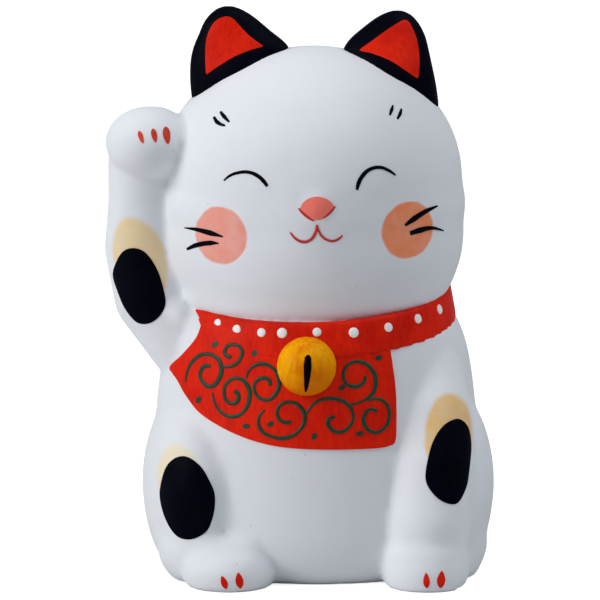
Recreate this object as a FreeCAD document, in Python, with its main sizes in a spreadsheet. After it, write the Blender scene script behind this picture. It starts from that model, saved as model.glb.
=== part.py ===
import FreeCAD, Part
import os
import Sketcher
from FreeCAD import Placement, Rotation, Vector

# Beckoning cat figurine, a slip-cast money box in millimetres.
# The cat sits on Z = 0, looks along -Y and raises its right paw, on the -X side.
# Torso, head, raised arm, ears and tail are cast apart and luted together, so each piece is trimmed
# to the surface that it is stuck to. Collar, bib and bell are clay sprigs laid over the join of the neck.
# A soft stopper closes the emptying hole in the base and pulls out downwards.

doc = FreeCAD.newDocument("BeckoningCat")

# ---------------------------------------------------------------- driving dimensions

DIMENSIONS = {
    "wall": 3.5,
    "neck_height": 55.9,
    # head: an upright egg with a second, lower one inside it for the full cheeks
    "head_half_width": 31.2,
    "head_half_depth": 28.2,
    "head_half_height": 27.4,
    "head_x": -0.5,
    "head_y": -1.8,
    "head_z": 83.0,
    "cheek_half_width": 31.6,
    "cheek_half_depth": 27.6,
    "cheek_half_height": 26.0,
    "cheek_z": 71.0,
    # haunches, feet and the lowered left foreleg
    "haunch_half_width": 12.6,
    "haunch_half_depth": 24.0,
    "haunch_half_height": 22.0,
    "haunch_x": 24.6,
    "haunch_shift": 0.45,
    "haunch_y": -3.5,
    "haunch_z": 18.0,
    "foot_half_width": 9.7,
    "foot_half_depth": 10.2,
    "foot_half_height": 6.6,
    "foot_x": 18.2,
    "foot_y": -24.6,
    "foot_z": 3.0,
    "side_foot_half_width": 7.4,
    "side_foot_x": 27.2,
    "side_foot_y": -13.5,
    "paw_half_width": 9.0,
    "paw_half_depth": 9.8,
    "paw_half_height": 8.6,
    "paw_x": 22.9,
    "paw_y": -25.0,
    "paw_z": 3.2,
    # paw of the raised arm
    "raised_paw_half_width": 8.9,
    "raised_paw_half_depth": 9.2,
    "raised_paw_half_height": 7.4,
    "raised_paw_x": -35.1,
    "raised_paw_y": -7.8,
    "raised_paw_z": 90.8,
    # collar, bib and bell
    "collar_thickness": 2.0,
    "collar_z": 55.9,
    "collar_pitch": 8.5,
    "collar_roll": -2.1,
    "bib_relief": 0.6,
    "bib_left": -30.4,
    "bib_left_height": 42.7,
    "bib_right": 16.6,
    "bib_right_height": 29.5,
    "bib_bottom": 28.4,
    "bib_top": 51.9,
    "bib_top_left": -24.0,
    "bell_radius": 6.15,
    "bell_x": -2.0,
    "bell_y": -28.2,
    "bell_z": 46.5,
    # base, coin slot and stopper
    "base_recess_depth": 2.5,
    "base_recess_radius": 20.0,
    "floor_thickness": 3.6,
    "base_hole_radius": 14.0,
    "slot_width": 31.0,
    "slot_height": 4.8,
    "slot_z": 43.0,
    "stopper_clearance": 0.15,
    "stopper_flange_radius": 16.8,
    "stopper_flange_thickness": 1.6,
    "stopper_waist_radius": 13.5,
    "stopper_lip_height": 1.4,
    "stopper_wall": 2.2,
    "grip_thickness": 2.2,
}

# torso stations from the base up: height, half width, half depth, centre in Y
TORSO_STATIONS = [
    (0.0, 30.6, 25.8, 1.0),
    (2.0, 32.4, 28.0, 1.0),
    (7.0, 34.0, 30.0, 1.0),
    (16.0, 34.6, 31.0, 1.0),
    (26.0, 34.4, 30.8, 0.6),
    (35.0, 33.7, 29.8, 0.0),
    (43.0, 32.7, 28.6, -0.5),
    (49.0, 31.3, 27.4, -0.9),
    (55.9, 27.5, 25.2, -1.2),
]

# lower and upper edge of the collar in its own tilted plane: height, half width, half depth, x, y
COLLAR_EDGES = [
    (-3.25, 29.4, 27.3, 0.0, -2.5),
    (3.25, 28.2, 26.9, 0.2, -0.4),
]

# limbs as stations along their centre lines: x, y, z, radius
ARM_STATIONS = [
    (-20.0, -5.0, 40.0, 8.8),
    (-27.4, -4.4, 49.0, 8.5),
    (-34.1, -3.2, 57.8, 8.5),
    (-36.4, -2.6, 67.9, 8.1),
    (-36.3, -2.8, 77.9, 7.4),
    (-36.2, -4.4, 87.4, 7.4),
]
LEG_STATIONS = [
    (22.8, -25.0, 2.6, 8.0),
    (23.4, -24.2, 13.0, 8.6),
    (24.0, -21.4, 24.0, 9.0),
    (24.0, -17.2, 34.0, 8.7),
    (22.4, -11.9, 42.0, 8.2),
]
TAIL_STATIONS = [
    (0.0, 26.4, 8.0, 5.2),
    (4.6, 30.2, 8.4, 5.5),
    (9.4, 31.8, 10.4, 5.3),
    (13.4, 31.2, 14.0, 4.9),
    (16.0, 29.4, 18.0, 4.4),
    (17.0, 27.2, 21.6, 3.9),
]
RING_WORDS = ("height", "wide", "deep", "shift")
EDGE_WORDS = ("height", "wide", "deep", "x", "y")
LIMB_WORDS = ("x", "y", "z", "radius")
# ears as level stations: x, y, height, half width, half depth
EAR_STATIONS = {
    "right_ear": [
        (-15.2, -2.8, 94.9, 9.4, 5.8),
        (-15.6, -2.8, 100.1, 10.5, 5.6),
        (-15.6, -2.6, 105.9, 10.8, 5.4),
        (-15.8, -2.3, 110.5, 9.8, 4.7),
        (-16.8, -2.0, 113.3, 7.6, 4.0),
        (-17.6, -1.8, 115.4, 5.9, 3.4),
        (-18.1, -1.7, 117.2, 4.0, 2.7),
        (-18.4, -1.6, 118.3, 2.2, 1.7),
        (-18.5, -1.6, 118.7, 1.0, 0.8),
    ],
    "left_ear": [
        (15.2, -3.6, 94.9, 11.0, 7.4),
        (15.0, -3.5, 99.5, 10.5, 7.2),
        (14.8, -3.2, 104.9, 9.8, 6.6),
        (14.7, -2.8, 110.4, 8.7, 5.2),
        (15.3, -2.4, 112.6, 7.5, 4.5),
        (16.0, -2.1, 114.5, 5.9, 3.7),
        (16.6, -1.8, 116.4, 3.9, 2.8),
        (16.9, -1.7, 117.4, 2.2, 1.8),
        (17.0, -1.6, 117.8, 1.0, 0.8),
    ],
}

sheet = doc.addObject("Spreadsheet::Sheet", "Dims")


def write_rows(values, prefix, words, rows):
    """Add a table of stations to the values, one name for every number."""
    for number, row in enumerate(rows):
        for word, value in zip(words, row):
            values["%s_%s_at_%d" % (prefix, word, number)] = value


def write_cells():
    """Put every driving dimension in the sheet, one row each, with its name as the alias."""
    values = dict(DIMENSIONS)
    write_rows(values, "torso", RING_WORDS, TORSO_STATIONS)
    write_rows(values, "collar", EDGE_WORDS, COLLAR_EDGES)
    write_rows(values, "arm", LIMB_WORDS, ARM_STATIONS)
    write_rows(values, "leg", LIMB_WORDS, LEG_STATIONS)
    write_rows(values, "tail", LIMB_WORDS, TAIL_STATIONS)
    for ear, rows in EAR_STATIONS.items():
        write_rows(values, ear, ("x", "y", "z", "wide", "deep"), rows)
    for row, (name, value) in enumerate(values.items(), start=1):
        sheet.set("A%d" % row, name)
        sheet.set("B%d" % row, str(value))
        sheet.setAlias("B%d" % row, name)
    doc.recompute()
    return values


VALUES = write_cells()


def cell(name):
    """The expression that reads one cell."""
    return "Dims." + name


def bind(part, expressions):
    for prop, expression in expressions.items():
        part.setExpression(prop, expression)
    return part


def place(part, x, y, z):
    """Tie a part's position to three expressions."""
    return bind(part, {"Placement.Base.x": x, "Placement.Base.y": y, "Placement.Base.z": z})


# ---------------------------------------------------------------- shape helpers


def ellipsoid(name, half_width, half_depth, half_height, centre):
    part = doc.addObject("Part::Ellipsoid", name)
    bind(part, {"Radius2": half_width, "Radius3": half_depth, "Radius1": half_height})
    return place(part, *centre)


def box(name, length, width, height, corner):
    part = doc.addObject("Part::Box", name)
    bind(part, {"Length": length, "Width": width, "Height": height})
    return place(part, *corner)


def cylinder(name, radius, height, centre):
    part = doc.addObject("Part::Cylinder", name)
    bind(part, {"Radius": radius, "Height": height})
    return place(part, *centre)


def fuse(name, parts):
    joined = doc.addObject("Part::MultiFuse", name)
    joined.Shapes = parts
    return joined


def common(name, parts):
    shared = doc.addObject("Part::MultiCommon", name)
    shared.Shapes = parts
    return shared


def cut(name, base, tools):
    """Take the tools away from the base, one after the other."""
    for number, tool in enumerate(tools):
        last = number == len(tools) - 1
        piece = doc.addObject("Part::Cut", name if last else "%s_cut_%d" % (name, number))
        piece.Base = base
        piece.Tool = tool
        base = piece
    return base


def loft(name, sections):
    body = doc.addObject("Part::Loft", name)
    body.Sections = sections
    body.Solid = True
    return body


def level_ring(name, wide, deep, x, y, z):
    """A level ellipse, wider in X than in Y."""
    ring = doc.addObject("Part::Ellipse", name)
    bind(ring, {"MajorRadius": wide, "MinorRadius": deep})
    return place(ring, x, y, z)


def ring_loft(name, prefix, rows, grow="0"):
    """A loft through one table of elliptical stations, each grown by an expression."""
    sections = []
    for number in range(len(rows)):
        words = {word: cell("%s_%s_at_%d" % (prefix, word, number)) for word in RING_WORDS}
        sections.append(
            level_ring(
                "%s_ring_%d" % (name, number),
                words["wide"] + " + " + grow,
                words["deep"] + " + " + grow,
                "0",
                words["shift"],
                words["height"],
            )
        )
    return loft(name, sections)


def head_eggs(name, grow):
    """The crown and the cheeks, both grown by the expression."""
    eggs = []
    for part, height in (("head", "head_z"), ("cheek", "cheek_z")):
        eggs.append(
            ellipsoid(
                "%s_%s_egg" % (name, part),
                cell(part + "_half_width") + " + " + grow,
                cell(part + "_half_depth") + " + " + grow,
                cell(part + "_half_height") + " + " + grow,
                (cell("head_x"), cell("head_y"), cell(height)),
            )
        )
    return eggs


def limb(name, prefix, rows):
    """A round limb: a ball at every station and a cone from each one to the next."""
    parts = []
    for number, row in enumerate(rows):
        here = {word: cell("%s_%s_at_%d" % (prefix, word, number)) for word in LIMB_WORDS}
        ball = doc.addObject("Part::Sphere", "%s_ball_%d" % (name, number))
        ball.setExpression("Radius", here["radius"])
        parts.append(place(ball, here["x"], here["y"], here["z"]))
        if number + 1 == len(rows):
            break
        ahead = {word: cell("%s_%s_at_%d" % (prefix, word, number + 1)) for word in LIMB_WORDS}
        squares = ["(%s - %s) ^ 2" % (ahead[axis], here[axis]) for axis in "xyz"]
        cone = doc.addObject("Part::Cone", "%s_cone_%d" % (name, number))
        along = Vector(*rows[number + 1][:3]) - Vector(*row[:3])
        cone.Placement = Placement(Vector(0, 0, 0), Rotation(Vector(0, 0, 1), along))
        bind(
            cone,
            {
                "Radius1": here["radius"],
                "Radius2": ahead["radius"],
                "Height": "sqrt(%s)" % " + ".join(squares),
            },
        )
        parts.append(place(cone, here["x"], here["y"], here["z"]))
    return fuse(name, parts)


def origin_feature(body, role):
    return next(f for f in body.Origin.OriginFeatures if f.Role == role)


def new_sketch(body, name, role):
    sketch = body.newObject("Sketcher::SketchObject", name)
    sketch.AttachmentSupport = (origin_feature(body, role), [""])
    sketch.MapMode = "FlatFace"
    return sketch


def add_outline(sketch, pieces):
    """Draw lines (two points) and arcs (three points) end to end as one closed outline."""
    indices = []
    for points in pieces:
        corners = [Vector(x, y, 0) for x, y in points]
        shape = Part.LineSegment(*corners) if len(corners) == 2 else Part.Arc(*corners)
        indices.append(sketch.addGeometry(shape, False))
    return indices


def join_ends(sketch, joints):
    for first, first_end, second, second_end in joints:
        sketch.addConstraint(Sketcher.Constraint("Coincident", first, first_end, second, second_end))


def pin_point(sketch, geometry, end, x_value, x_expression, y_value, y_expression):
    """Fix one point of a sketch to two expressions."""
    for kind, value, expression in (
        ("DistanceX", x_value, x_expression),
        ("DistanceY", y_value, y_expression),
    ):
        index = sketch.addConstraint(Sketcher.Constraint(kind, -1, 1, geometry, end, value))
        sketch.setExpression("Constraints[%d]" % index, expression)


# ---------------------------------------------------------------- full outer forms

torso_full = ring_loft("torso_full", "torso", TORSO_STATIONS)
head_full = fuse("head_full", head_eggs("outer", "0"))


def haunch(name, side, shrink):
    return ellipsoid(
        name,
        cell("haunch_half_width") + shrink,
        cell("haunch_half_depth") + shrink,
        cell("haunch_half_height") + shrink,
        (
            side + cell("haunch_x") + " + " + cell("haunch_shift"),
            cell("haunch_y"),
            cell("haunch_z"),
        ),
    )


def lowered_leg():
    """The left foreleg, which leans back into the chest, with its paw in front."""
    paw = ellipsoid(
        "lowered_paw",
        cell("paw_half_width"),
        cell("paw_half_depth"),
        cell("paw_half_height"),
        (cell("paw_x"), cell("paw_y"), cell("paw_z")),
    )
    return [limb("lowered_leg", "leg", LEG_STATIONS), paw]


def hind_feet():
    front = ellipsoid(
        "right_hind_foot",
        cell("foot_half_width"),
        cell("foot_half_depth"),
        cell("foot_half_height"),
        ("-" + cell("foot_x"), cell("foot_y"), cell("foot_z")),
    )
    side = ellipsoid(
        "left_hind_foot",
        cell("side_foot_half_width"),
        cell("foot_half_depth"),
        cell("foot_half_height"),
        (cell("side_foot_x"), cell("side_foot_y"), cell("foot_z")),
    )
    return [front, side]


# ---------------------------------------------------------------- body casting


def make_body_shell(collar):
    """Torso, haunches, feet and foreleg in one hollow casting, open at the neck and the base."""
    haunches = [haunch("haunch_right", "-", ""), haunch("haunch_left", "", "")]
    outside = fuse("body_outside", [torso_full] + haunches + lowered_leg() + hind_feet())

    shrink = "-" + cell("wall")
    inner_torso = ring_loft("inner_torso", "torso", TORSO_STATIONS, shrink)
    inner_haunches = [
        haunch("inner_right", "-", " + " + shrink),
        haunch("inner_left", "", " + " + shrink),
    ]
    hollow = fuse("body_hollow", [inner_torso] + inner_haunches)
    floor_top = cell("base_recess_depth") + " + " + cell("floor_thickness")
    floor = box("floor_block", "120", "120", floor_top, ("-60", "-60", "0"))
    cavity = cut("body_cavity", hollow, [floor])

    below = box("below_ground", "140", "140", "20", ("-70", "-70", "-20"))
    recess = cylinder(
        "base_recess", cell("base_recess_radius"), cell("base_recess_depth"), ("0", "0", "0")
    )
    hole = cylinder("base_hole", cell("base_hole_radius"), floor_top + " + 1", ("0", "0", "0"))
    slot = box(
        "coin_slot",
        cell("slot_width"),
        "30",
        cell("slot_height"),
        (
            "-" + cell("slot_width") + " / 2",
            "12",
            cell("slot_z") + " - " + cell("slot_height") + " / 2",
        ),
    )
    return cut("body_shell", outside, [below, collar, cavity, recess, hole, slot])


def make_head_shell(collar):
    """The head as a hollow egg, open where it stands on the neck."""
    inner = head_eggs("inner", "-" + cell("wall"))
    below_neck = box("below_neck", "140", "140", cell("neck_height"), ("-70", "-70", "0"))
    return cut("head_shell", head_full, inner + [below_neck, collar])


def make_raised_arm(collar):
    arm = limb("arm_full", "arm", ARM_STATIONS)
    paw = ellipsoid(
        "raised_paw",
        cell("raised_paw_half_width"),
        cell("raised_paw_half_depth"),
        cell("raised_paw_half_height"),
        (cell("raised_paw_x"), cell("raised_paw_y"), cell("raised_paw_z")),
    )
    whole = fuse("arm_and_paw", [arm, paw])
    return whole, cut("raised_arm", whole, [torso_full, head_full, collar])


def make_tail():
    return cut("tail", limb("tail_full", "tail", TAIL_STATIONS), [torso_full])


# ---------------------------------------------------------------- ears


def make_ear(name):
    """A flat horn lofted through its stations and trimmed to the head."""
    rings = []
    for number in range(len(EAR_STATIONS[name])):
        words = [
            cell("%s_%s_at_%d" % (name, word, number)) for word in ("wide", "deep", "x", "y", "z")
        ]
        rings.append(level_ring("%s_ring_%d" % (name, number), *words))
    return cut(name, loft(name + "_horn", rings), [head_full])


# ---------------------------------------------------------------- collar, bib and bell


def collar_block(name, inset):
    """The collar filled in: a tapered elliptical disc, lower in front and on the -X side."""
    tilt = Rotation(Vector(0, 1, 0), VALUES["collar_roll"]) * Rotation(
        Vector(1, 0, 0), VALUES["collar_pitch"]
    )
    edges = []
    for number, (height, _, _, x, y) in enumerate(COLLAR_EDGES):
        words = {word: cell("collar_%s_at_%d" % (word, number)) for word in EDGE_WORDS}
        edge = doc.addObject("Part::Ellipse", "%s_edge_%d" % (name, number))
        bind(
            edge,
            {
                "MajorRadius": words["wide"] + " - " + inset,
                "MinorRadius": words["deep"] + " - " + inset,
            },
        )
        offset = tilt.multVec(Vector(x, y, height))
        edge.Placement = Placement(offset, tilt)
        edge.setExpression("Placement.Base.z", "%s + %.4f" % (cell("collar_z"), offset.z))
        edges.append(edge)
    block = loft(name, edges)
    block.Ruled = True
    return block


def make_bib(block, arm):
    """A cloth apron that hangs from the collar, longer on the side of the raised arm."""
    body = doc.addObject("PartDesign::Body", "bib_blank")
    sketch = new_sketch(body, "bib_outline", "XZ_Plane")
    left, left_z = VALUES["bib_left"], VALUES["bib_left_height"]
    right, right_z = VALUES["bib_right"], VALUES["bib_right_height"]
    bottom, top, top_left = VALUES["bib_bottom"], VALUES["bib_top"], VALUES["bib_top_left"]
    add_outline(
        sketch,
        [
            [(left, left_z), (-21.0, 33.4), (-6.0, bottom)],
            [(-6.0, bottom), (8.0, bottom - 0.1), (right, right_z)],
            [(right, right_z), (right + 0.5, 42.0), (right - 1.6, top)],
            [(right - 1.6, top), (top_left, top)],
            [(top_left, top), (-26.0, 49.0), (left, left_z)],
        ],
    )
    # an arc's own ends run anticlockwise, so the corners are found by where they meet
    ends = [(number, end, sketch.getPoint(number, end)) for number in range(5) for end in (1, 2)]
    for index, (first, first_end, point) in enumerate(ends):
        for second, second_end, other in ends[index + 1 :]:
            if first != second and (point - other).Length < 1e-6:
                join_ends(sketch, [(first, first_end, second, second_end)])
    pin_point(sketch, 3, 1, right - 1.6, cell("bib_right") + " - 1.6", top, cell("bib_top"))
    pin_point(sketch, 3, 2, top_left, cell("bib_top_left"), top, cell("bib_top"))
    pad = body.newObject("PartDesign::Pad", "bib_pad")
    pad.Profile = sketch
    pad.Length = 50
    form = ring_loft("bib_form", "torso", TORSO_STATIONS, cell("bib_relief"))
    patch = common("bib_patch", [form, body])
    return cut("bib", patch, [torso_full, block, arm])


def make_bell(block, bib):
    ball = doc.addObject("Part::Sphere", "bell_ball")
    ball.setExpression("Radius", cell("bell_radius"))
    place(ball, cell("bell_x"), cell("bell_y"), cell("bell_z"))
    return cut("bell", ball, [torso_full, block, bib])


# ---------------------------------------------------------------- stopper


def make_stopper():
    """A soft hollow plug turned from one profile, with a bar to pull it by."""
    body = doc.addObject("PartDesign::Body", "stopper")
    sketch = new_sketch(body, "stopper_profile", "XZ_Plane")
    flange_top = VALUES["base_recess_depth"] - 0.1
    flange_bottom = flange_top - VALUES["stopper_flange_thickness"]
    lip_top = VALUES["base_recess_depth"] + VALUES["floor_thickness"] + 1.6
    lip_bottom = lip_top - VALUES["stopper_lip_height"]
    flange = VALUES["stopper_flange_radius"]
    waist = VALUES["stopper_waist_radius"]
    lip = VALUES["base_hole_radius"] - VALUES["stopper_clearance"]
    pocket = waist - VALUES["stopper_wall"]
    pocket_top = lip_top - VALUES["stopper_wall"]
    outline = [
        (pocket, flange_bottom),
        (flange, flange_bottom),
        (flange, flange_top),
        (waist, flange_top),
        (waist, lip_bottom - 0.6),
        (lip, lip_bottom),
        (lip, lip_top - 0.7),
        (waist - 0.4, lip_top),
        (0, lip_top),
        (0, pocket_top),
        (pocket, pocket_top),
    ]
    pairs = list(zip(outline, outline[1:] + outline[:1]))
    add_outline(sketch, [list(pair) for pair in pairs])
    count = len(pairs)
    join_ends(sketch, [(i, 2, (i + 1) % count, 1) for i in range(count)])
    radius_pins = (
        (1, cell("stopper_flange_radius"), flange),
        (3, cell("stopper_waist_radius"), waist),
        (5, cell("base_hole_radius") + " - " + cell("stopper_clearance"), lip),
    )
    for line, expression, value in radius_pins:
        index = sketch.addConstraint(
            Sketcher.Constraint("DistanceX", -1, 1, line, 1, value)
        )
        sketch.setExpression("Constraints[%d]" % index, expression)
    turned = body.newObject("PartDesign::Revolution", "stopper_turned")
    turned.Profile = sketch
    turned.ReferenceAxis = (origin_feature(body, "Z_Axis"), [""])
    turned.Angle = 360
    doc.recompute()

    bar_sketch = new_sketch(body, "grip_outline", "XZ_Plane")
    half = VALUES["grip_thickness"] / 2
    corners = [(-half, flange_bottom), (half, flange_bottom), (half, pocket_top), (-half, pocket_top)]
    sides = list(zip(corners, corners[1:] + corners[:1]))
    add_outline(bar_sketch, [list(side) for side in sides])
    join_ends(bar_sketch, [(i, 2, (i + 1) % 4, 1) for i in range(4)])
    bar = body.newObject("PartDesign::Pad", "grip_bar")
    bar.Profile = bar_sketch
    bar.Length = 2 * pocket + 1.0
    bar.Midplane = True
    body.Tip = bar
    return body


# ---------------------------------------------------------------- build, check and export

collar_outer = collar_block("collar_outer", "0")
collar_inner = collar_block("collar_inner", cell("collar_thickness"))
collar_node = cut("collar_band", collar_outer, [collar_inner])
arm_full, arm_node = make_raised_arm(collar_outer)
bib_node = make_bib(collar_outer, arm_full)
NODES = {
    "body_shell": make_body_shell(collar_node),
    "head_shell": make_head_shell(collar_node),
    "raised_arm": arm_node,
    "right_ear": make_ear("right_ear"),
    "left_ear": make_ear("left_ear"),
    "tail": make_tail(),
    "collar_band": collar_node,
    "bib": bib_node,
    "bell": make_bell(collar_outer, bib_node),
    "base_stopper": make_stopper(),
}
for label, node in NODES.items():
    node.Label = label
doc.recompute()


def check_document():
    for item in doc.Objects:
        if any(word in item.State for word in ("Invalid", "Error")):
            raise RuntimeError("%s failed: %s" % (item.Name, item.State))


def export_nodes():
    os.makedirs("parts", exist_ok=True)
    for name in os.listdir("parts"):
        if name.endswith(".step"):
            os.remove(os.path.join("parts", name))
    for label, node in NODES.items():
        shape = node.Shape
        if shape.isNull() or not shape.isValid():
            raise RuntimeError("%s has no valid shape" % label)
        print("%-12s solids %d volume %.1f mm3" % (label, len(shape.Solids), shape.Volume))
        shape.exportStep(os.path.join("parts", label + ".step"))


check_document()
export_nodes()
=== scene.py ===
import math

import bpy
from bpy.props import FloatProperty, FloatVectorProperty, IntProperty, PointerProperty
from mathutils import Matrix, Vector


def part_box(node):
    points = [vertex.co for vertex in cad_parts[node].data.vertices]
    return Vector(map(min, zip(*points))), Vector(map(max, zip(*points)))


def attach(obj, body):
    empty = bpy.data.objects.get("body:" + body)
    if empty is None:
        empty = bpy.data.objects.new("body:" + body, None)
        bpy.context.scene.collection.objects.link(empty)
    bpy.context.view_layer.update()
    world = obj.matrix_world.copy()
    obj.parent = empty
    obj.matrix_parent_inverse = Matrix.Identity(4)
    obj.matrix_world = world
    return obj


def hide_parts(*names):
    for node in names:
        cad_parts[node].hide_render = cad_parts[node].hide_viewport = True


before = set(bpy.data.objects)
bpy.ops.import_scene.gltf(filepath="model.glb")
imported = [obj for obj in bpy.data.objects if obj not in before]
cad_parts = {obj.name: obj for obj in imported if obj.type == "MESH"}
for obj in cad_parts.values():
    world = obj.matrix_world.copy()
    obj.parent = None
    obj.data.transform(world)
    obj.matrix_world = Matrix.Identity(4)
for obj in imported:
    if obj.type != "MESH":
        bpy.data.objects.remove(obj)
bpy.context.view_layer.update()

bl_info = {
    "name": "Beckoning Cat Money Box",
    "version": (1, 0, 0),
    "blender": (4, 5, 0),
    "location": "View3D > Sidebar > Beckoning Cat",
    "description": "Casts, trims and hand-paints an earthenware beckoning cat money box",
    "category": "Object",
}

MM = 0.001
FIGURE = "figure"

# The painter's plane leans back so that marks are laid out as seen from the front, a little above.
# u runs to the viewer's right and v upwards, both in millimetres.
LEAN = math.radians(8.0)
VIEW_CENTRE = (-3.4, 56.9)
VIEW_DISTANCE = 1000.0
VIEW_WIDTH = 127.2
GROUND_LINE = 1.1
PLANE_STANDOFF = 60.0

# how far in front of the axis the marks lie, in millimetres
DEPTHS = {
    "ear": 6.0, "brow": 20.0, "whisker": 24.0, "collar": 26.0, "eye": 27.0, "bib": 28.0,
    "muzzle": 29.0, "lips": 30.0, "scroll": 30.0, "nose": 30.5, "bell": 33.0,
}
# a mark is thicker than what stands proud of the surface, so that its underside is buried
MARK_BODY = 1.6
MARK_OFFSET = 0.25
SOFT_EDGE = math.radians(40)
# passes of smoothing after a piece is recast
EAR_PASSES, TAIL_PASSES, COLLAR_PASSES, RUB_PASSES = 4, 10, 5, 30


# ------------------------------------------------------------------ settings


def size_property(name, description, default):
    return FloatProperty(name=name, description=description, default=default * MM, unit="LENGTH")


def colour_property(name, description, default):
    return FloatVectorProperty(
        name=name, description=description, default=default, subtype="COLOR", size=3,
        min=0.0, max=1.0,
    )


class ClaySettings(bpy.types.PropertyGroup):
    """How the casting is finished before it is painted."""

    grid: size_property("Casting grid", "Spacing of the faces on the white casting", 0.8)
    ear_grid: size_property("Ear grid", "Spacing of the faces on ears, tail and collar", 0.45)
    lute: size_property("Luting", "How far pieces overlap where they are stuck together", 0.12)
    soften: IntProperty(name="Softening", description="Passes of the wet sponge", default=5)
    snout: size_property("Snout", "How far the muzzle stands out", 0.9)
    nose: size_property("Nose", "How far the nose stands out of the muzzle", 0.7)


class TrimSettings(bpy.types.PropertyGroup):
    """Sizes of the bib and of what is painted or stuck on."""

    bib: size_property("Bib", "Thickness of the bib", 0.35)
    paint: size_property("Paint", "Thickness of a brush stroke", 0.1)
    dot: size_property("Dot", "Radius of a white dot on the collar", 1.0)
    dot_count: IntProperty(name="Dots behind", description="Dots on the unseen side", default=14)
    scroll: size_property("Scroll line", "Width of the scroll painted on the bib", 0.86)


class PaintSettings(bpy.types.PropertyGroup):
    """Colours from the painter's pots."""

    white: colour_property("White", "Ground coat", (0.80, 0.825, 0.865))
    red: colour_property("Red", "Collar, bib and inner ears", (0.80, 0.018, 0.002))
    deep_red: colour_property("Deep red", "Where the red lies thick", (0.56, 0.005, 0.001))
    black: colour_property("Black", "Ears, patches and lines", (0.0006, 0.0012, 0.006))
    ochre: colour_property("Ochre", "Sprayed edge on the raised arm", (0.84, 0.64, 0.36))
    pale_ochre: colour_property("Pale ochre", "Sprayed edge on the haunch", (0.88, 0.74, 0.46))
    deep_ochre: colour_property("Deep ochre", "Sprayed edge on the foreleg", (0.84, 0.55, 0.23))
    blush: colour_property("Blush", "The right cheek", (0.90, 0.33, 0.25))
    # the blush again, as painted shade, for the cheek away from the light
    shaded_blush: colour_property("Warm blush", "The left cheek", (0.95, 0.27, 0.10))
    nose: colour_property("Nose", "Nose", (0.98, 0.21, 0.16))
    lips: colour_property("Lips", "Mouth and edge of the nose", (0.62, 0.035, 0.03))
    yellow: colour_property("Yellow", "Bell", (0.98, 0.50, 0.0008))
    # amber is where the yellow lies thick, and on the bell's low side it is also painted shade
    amber_and_shade: colour_property("Amber", "Where the yellow lies thick", (0.74, 0.15, 0.0004))
    green: colour_property("Green", "Scroll on the bib", (0.003, 0.055, 0.022))
    dots: colour_property("Dots", "Dots on the collar", (0.95, 0.95, 0.94))
    claw: colour_property("Claws", "Strokes between the toes", (0.80, 0.07, 0.035))
    stopper: colour_property("Stopper", "Soft plug in the base", (0.80, 0.79, 0.74))


def clay():
    return bpy.context.scene.cat_clay


def trim():
    return bpy.context.scene.cat_trim


def paint():
    return bpy.context.scene.cat_paint


# ------------------------------------------------------------------ working with objects


def deselect_all():
    if bpy.context.object and bpy.context.object.mode != "OBJECT":
        bpy.ops.object.mode_set(mode="OBJECT")
    bpy.ops.object.select_all(action="DESELECT")


def activate(obj):
    deselect_all()
    obj.select_set(True)
    bpy.context.view_layer.objects.active = obj


def edit(obj):
    activate(obj)
    bpy.ops.object.mode_set(mode="EDIT")
    bpy.ops.mesh.select_all(action="SELECT")


def leave_edit():
    bpy.ops.object.mode_set(mode="OBJECT")


def finish_modifier(obj, kind, **settings):
    """Add a modifier, set it and apply it."""
    activate(obj)
    modifier = obj.modifiers.new(kind.title(), kind)
    for name, value in settings.items():
        setattr(modifier, name, value)
    bpy.ops.object.modifier_apply(modifier=modifier.name)


def set_down(obj):
    """Move a piece's place and turn into its mesh."""
    activate(obj)
    bpy.ops.object.transform_apply(location=True, rotation=True, scale=True)


def shade(obj, angle=None):
    """Shade a piece smooth, or only where its faces meet at less than an angle."""
    activate(obj)
    if angle is None:
        bpy.ops.object.shade_smooth()
    else:
        bpy.ops.object.shade_smooth_by_angle(angle=angle)


def join(objects, name):
    activate(objects[0])
    for obj in objects[1:]:
        obj.select_set(True)
    bpy.ops.object.join()
    obj = bpy.context.object
    obj.name = name
    obj.data.name = name
    return obj


def copy_node(node, swell=0.0):
    """A merged copy of a CAD node, grown or shrunk along its normals."""
    copy = bpy.data.objects.new(node + "_copy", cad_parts[node].data.copy())
    bpy.context.scene.collection.objects.link(copy)
    copy.data.materials.clear()
    edit(copy)
    bpy.ops.mesh.remove_doubles(threshold=0.002 * MM)
    if swell:
        bpy.ops.mesh.normals_make_consistent(inside=False)
        bpy.ops.transform.shrink_fatten(value=swell)
    leave_edit()
    return copy


def recast(obj, grid, passes):
    """Even out a mesh on a grid and soften it."""
    finish_modifier(obj, "REMESH", mode="VOXEL", voxel_size=grid, use_smooth_shade=True)
    finish_modifier(obj, "SMOOTH", factor=0.5, iterations=passes)


def fade(share):
    """Falls softly from one to nothing while the share goes from nothing to one."""
    return 0.5 + 0.5 * math.cos(math.pi * share)


def push(obj, point, offset, reach):
    """Pull the surface near a point along an offset, fading out over the reach."""
    activate(obj)
    for vertex in obj.data.vertices:
        away = (vertex.co - point).length
        if away < reach:
            vertex.co += offset * fade(away / reach)


def hand_over(obj, material, *nodes):
    """Give a finished piece its material and its body, and hide the CAD nodes that it stands for.
    """
    obj.data.materials.clear()
    obj.data.materials.append(material)
    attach(obj, FIGURE)
    if nodes:
        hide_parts(*nodes)


# ------------------------------------------------------------------ marks on the painter's plane


def on_plane(u, v, depth):
    """A place on the plane for a mark that is seen at (u, v) on a surface that far in front."""
    pull = 1.0 - depth / VIEW_DISTANCE
    u, v = (middle + (place - middle) * pull for middle, place in zip(VIEW_CENTRE, (u, v)))
    return Vector((u * MM, v * MM, 0.0))


def plane_matrix():
    place = Vector((0.0, -math.cos(LEAN), math.sin(LEAN))) * PLANE_STANDOFF * MM
    place.z -= GROUND_LINE * MM
    return Matrix.Translation(place) @ Matrix.Rotation(math.pi / 2 - LEAN, 4, "X")


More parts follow.
